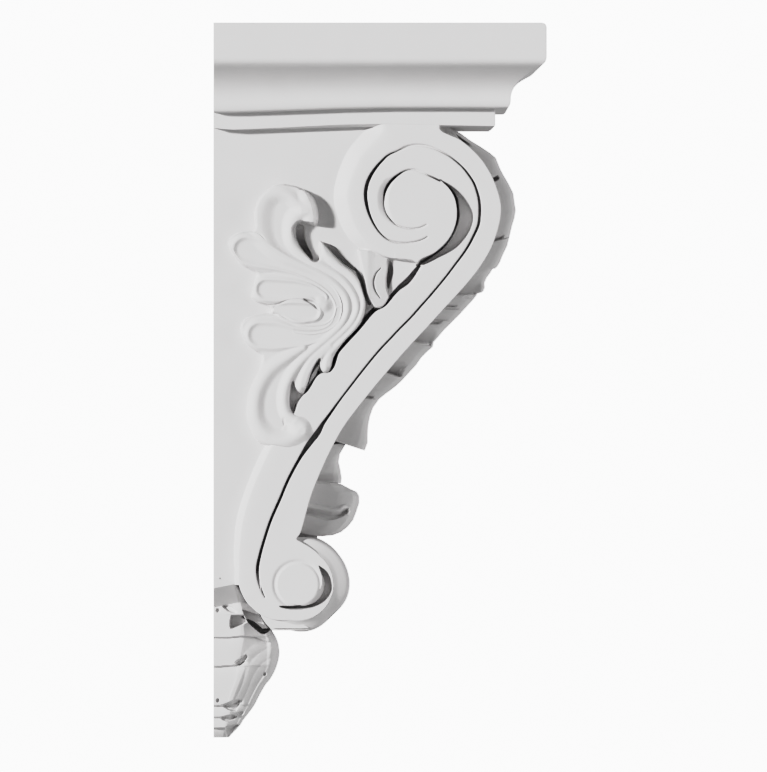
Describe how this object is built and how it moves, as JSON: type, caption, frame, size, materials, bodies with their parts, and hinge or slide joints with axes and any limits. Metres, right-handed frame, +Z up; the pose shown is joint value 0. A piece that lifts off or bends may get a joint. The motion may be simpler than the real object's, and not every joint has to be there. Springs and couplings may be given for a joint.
{
  "type": "urethane corbel",
  "caption": "Cast wall corbel with a mitred crown moulding over a scrolled bracket, carved leaves, a roll at the foot and a fluted pendant, flat at the back.",
  "frame": {"origin": "middle of the flat wall face, at half the overall height", "axes": "+X across the corbel, +Y into the wall, +Z up; the front faces -Y"},
  "size_m": [0.2046, 0.2818, 0.61],
  "materials": {
    "primed_urethane": "factory-primed high-density polyurethane, cast, off-white and matte, with a faint mould texture"
  },
  "bodies": {
    "root": {"corbel": "primed_urethane"}
  },
  "joints": []
}
